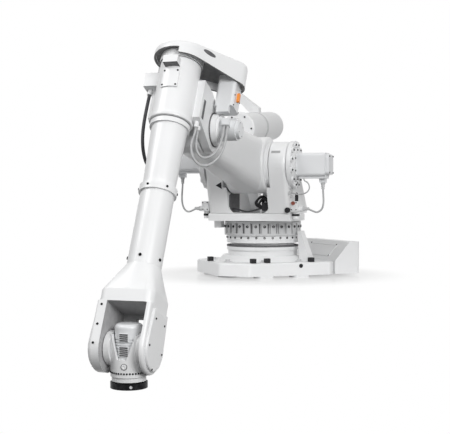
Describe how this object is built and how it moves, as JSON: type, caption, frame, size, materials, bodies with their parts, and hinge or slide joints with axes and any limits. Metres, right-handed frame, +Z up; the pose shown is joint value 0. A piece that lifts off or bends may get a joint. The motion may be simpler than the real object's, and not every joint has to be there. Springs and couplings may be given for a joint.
{
  "type": "industrial robot arm",
  "caption": "Shelf-mounted industrial robot arm: a base with a slewing ring, a turning column, a lower arm, a hanging forearm, a forked wrist and a round tool flange.",
  "frame": {"origin": "on the base's flat underside, on the turning axis of the column", "axes": "+Z up along the turning axis, +X the way the arm points at rest, +Y to the side of the elbow motor"},
  "size_m": [3.3276, 1.3077, 1.8902],
  "materials": {
    "white_paint": "satin gloss paint on castings",
    "motor_paint": "satin gloss paint on motor cases",
    "ring_paint": "satin paint on a slotted ring",
    "black_finish": "black oxide and paint, satin",
    "dark_plastic": "matt moulded plastic",
    "lamp_lens": "gloss lens",
    "cable_sheath": "satin sheath",
    "hose_rubber": "matt rubber"
  },
  "bodies": {
    "base": {"base_casting": "white_paint", "base_cable_box": "white_paint", "base_bracket": "white_paint", "slew_ring": "ring_paint"},
    "turret": {"turret_floor": "white_paint", "turret_stop": "white_paint", "turret_cheek_right": "white_paint", "turret_cheek_left": "white_paint", "shoulder_gearbox_right": "white_paint", "shoulder_gearbox_left": "white_paint", "shoulder_motor_right": "motor_paint", "shoulder_motor_left": "motor_paint", "turret_motor": "motor_paint", "balance_cylinder": "white_paint", "balance_stand": "white_paint", "hose_guide": "white_paint", "junction_box_right": "white_paint", "junction_box_left": "white_paint", "turret_manifold": "dark_plastic", "shoulder_cable_right": "cable_sheath", "shoulder_cable_left": "cable_sheath", "turret_hose_rear": "hose_rubber", "turret_hose_floor": "hose_rubber"},
    "lower_arm": {"lower_arm": "white_paint"},
    "upper_arm": {"upper_arm_housing": "white_paint", "elbow_gearbox": "white_paint", "elbow_motor": "motor_paint", "elbow_cover": "white_paint", "head_cap": "white_paint", "forearm_motor": "motor_paint", "motor_lamp": "lamp_lens", "head_shelf": "white_paint", "head_hatch": "white_paint", "head_side_plate": "white_paint", "elbow_cable_outer": "cable_sheath", "elbow_cable_inner": "cable_sheath", "side_hose": "hose_rubber"},
    "forearm": {"forearm_upper_tube": "white_paint", "forearm_lower_tube": "white_paint", "wrist_fork": "white_paint", "wrist_cover_right": "white_paint", "wrist_cover_left": "white_paint"},
    "wrist": {"wrist_housing": "white_paint", "wrist_motor": "motor_paint", "wrist_gear_ring": "white_paint"},
    "tool_flange": {"turning_disc": "black_finish"}
  },
  "joints": [
    {"name": "column_turn", "type": "hinge", "parent": "base", "child": "turret", "pos_m": [0, 0, 0.3], "axis": [0, 0, 1], "range_deg": [-180, 180]},
    {"name": "shoulder_swing", "type": "hinge", "parent": "turret", "child": "lower_arm", "pos_m": [0.3, 0, 0.815], "axis": [0, 1, 0], "range_deg": [-70, 35]},
    {"name": "elbow_swing", "type": "hinge", "parent": "lower_arm", "child": "upper_arm", "pos_m": [1.56905, 0, 0.98207], "axis": [0, -1, 0], "range_deg": [-58, 41]},
    {"name": "forearm_turn", "type": "hinge", "parent": "upper_arm", "child": "forearm", "pos_m": [1.82135, 0, 1.1035], "axis": [0.4337, 0, -0.9011], "range_deg": [-210, 210]},
    {"name": "wrist_bend", "type": "hinge", "parent": "forearm", "child": "wrist", "pos_m": [2.45016, 0, -0.20306], "axis": [0, 1, 0], "range_deg": [-125, 74]},
    {"name": "flange_turn", "type": "hinge", "parent": "wrist", "child": "tool_flange", "pos_m": [2.45016, 0, -0.40306], "axis": [0, 0, -1], "range_deg": [-210, 210]}
  ]
}
